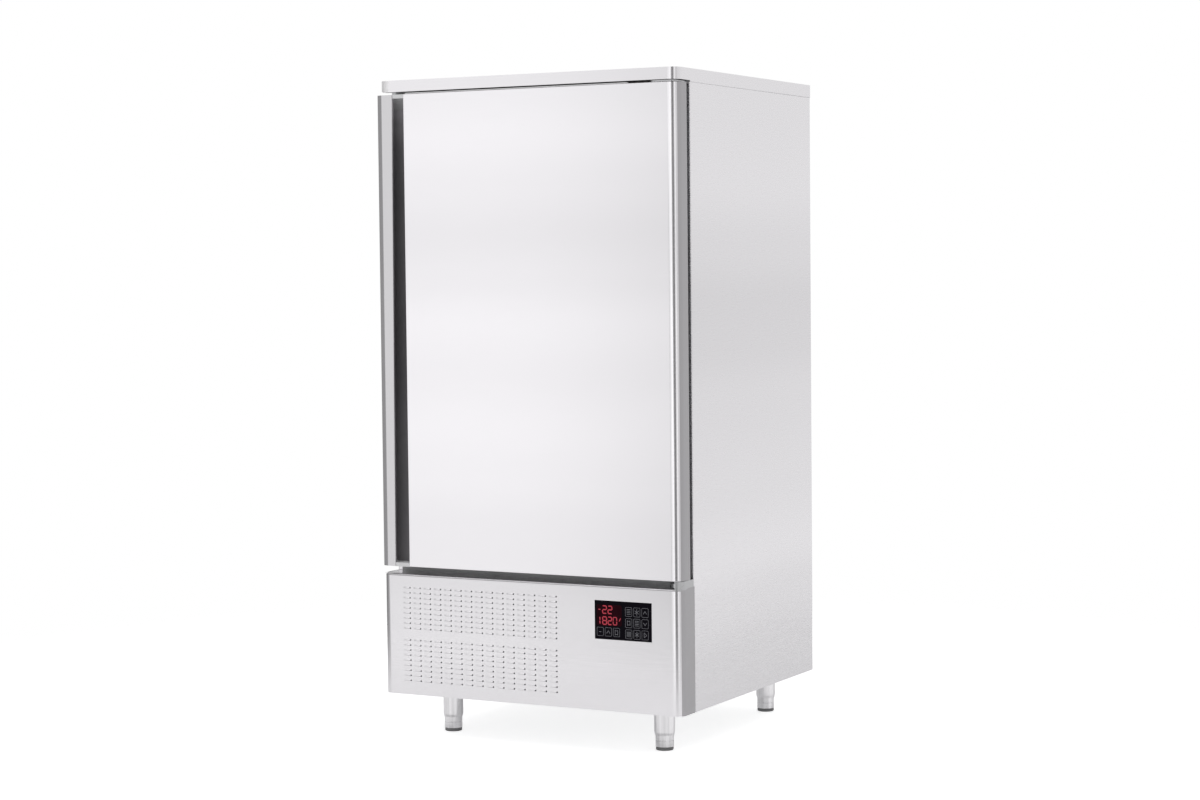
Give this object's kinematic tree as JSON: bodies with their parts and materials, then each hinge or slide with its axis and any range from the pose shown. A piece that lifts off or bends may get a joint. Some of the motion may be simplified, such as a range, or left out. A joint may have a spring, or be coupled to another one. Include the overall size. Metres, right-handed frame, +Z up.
{
  "type": "blast chiller",
  "caption": "Upright free-standing blast chiller with a full-height right-hinged door, side grip, slotted lower front panel with touch controls, and adjustable legs.",
  "frame": {"origin": "on the floor, under the middle of the cabinet's width and depth", "axes": "+Z up, the door faces -Y, +X to the right of someone facing the door"},
  "size_m": [0.79, 0.736, 1.553],
  "materials": {
    "steel": "fine-brushed stainless sheet",
    "liner_steel": "bright stainless sheet and wire",
    "zinc": "galvanised sheet",
    "foam": "rigid foam",
    "grey_plastic": "matte grey plastic",
    "black_glass": "glossy black control face",
    "black_plastic": "matte black plastic",
    "gasket": "soft grey seal",
    "cast_grey": "grey cast metal",
    "leg_steel": "turned stainless tube",
    "coil_fins": "thin aluminium fins",
    "black_paint": "black enamel",
    "copper": "bare copper tube"
  },
  "bodies": {
    "cabinet": {"side_panel_right": "steel", "side_panel_left": "steel", "top_cover": "steel", "lower_front_panel": "steel", "inner_liner": "liner_steel", "tray_rack_right": "liner_steel", "tray_rack_left": "liner_steel", "fan_wall": "liner_steel", "evaporator_fan_guard_upper": "liner_steel", "evaporator_fan_guard_lower": "liner_steel", "back_panel": "zinc", "rear_vent_panel": "zinc", "base_pan": "zinc", "deck_plate": "zinc", "condenser_shroud": "zinc", "insulation": "foam", "front_surround": "grey_plastic", "electric_box": "grey_plastic", "control_panel": "black_glass", "control_box": "black_plastic", "cable_gland": "black_plastic", "hinge_bracket_top": "cast_grey", "hinge_bracket_bottom": "cast_grey", "hinge_pin_top": "cast_grey", "hinge_pin_bottom": "cast_grey", "evaporator_fan_motor_upper": "cast_grey", "evaporator_fan_motor_lower": "cast_grey", "condenser_fan_motor": "cast_grey", "leg_sleeve_front_left": "leg_steel", "leg_sleeve_front_right": "leg_steel", "leg_sleeve_back_left": "leg_steel", "leg_sleeve_back_right": "leg_steel", "evaporator_coil": "coil_fins", "condenser_coil": "coil_fins", "compressor": "black_paint", "liquid_receiver": "black_paint", "discharge_pipe": "copper", "suction_pipe": "copper"},
    "door": {"door_skin": "steel", "door_insulation": "foam", "door_liner": "liner_steel", "door_gasket": "gasket", "grip_profile": "steel", "grip_cap_top": "grey_plastic", "grip_cap_bottom": "grey_plastic", "hinge_bush_top": "black_plastic", "hinge_bush_bottom": "black_plastic"},
    "foot_front_left": {"leg_foot_front_left": "leg_steel", "foot_pad_front_left": "black_plastic"},
    "foot_front_right": {"leg_foot_front_right": "leg_steel", "foot_pad_front_right": "black_plastic"},
    "foot_back_left": {"leg_foot_back_left": "leg_steel", "foot_pad_back_left": "black_plastic"},
    "foot_back_right": {"leg_foot_back_right": "leg_steel", "foot_pad_back_right": "black_plastic"},
    "fan_upper": {"evaporator_fan_upper": "black_plastic"},
    "fan_lower": {"evaporator_fan_lower": "black_plastic"},
    "fan_condenser": {"condenser_fan": "black_plastic"}
  },
  "joints": [
    {"name": "door_hinge", "type": "hinge", "parent": "cabinet", "child": "door", "pos_m": [0.377, -0.344, 0.958], "axis": [0, 0, 1], "range_deg": [0, 115]},
    {"name": "foot_screw_front_left", "type": "slide", "parent": "cabinet", "child": "foot_front_left", "axis": [0, 0, -1], "range_m": [-0.015, 0.025]},
    {"name": "foot_screw_front_right", "type": "slide", "parent": "cabinet", "child": "foot_front_right", "axis": [0, 0, -1], "range_m": [-0.015, 0.025]},
    {"name": "foot_screw_back_left", "type": "slide", "parent": "cabinet", "child": "foot_back_left", "axis": [0, 0, -1], "range_m": [-0.015, 0.025]},
    {"name": "foot_screw_back_right", "type": "slide", "parent": "cabinet", "child": "foot_back_right", "axis": [0, 0, -1], "range_m": [-0.015, 0.025]},
    {"name": "evaporator_fan_spin_upper", "type": "hinge", "parent": "cabinet", "child": "fan_upper", "pos_m": [0, 0.15, 1.16915], "axis": [0, 1, 0], "continuous": true},
    {"name": "evaporator_fan_spin_lower", "type": "hinge", "parent": "cabinet", "child": "fan_lower", "pos_m": [0, 0.15, 0.76915], "axis": [0, 1, 0], "continuous": true},
    {"name": "condenser_fan_spin", "type": "hinge", "parent": "cabinet", "child": "fan_condenser", "pos_m": [-0.14, -0.18, 0.2243], "axis": [0, 1, 0], "continuous": true}
  ]
}
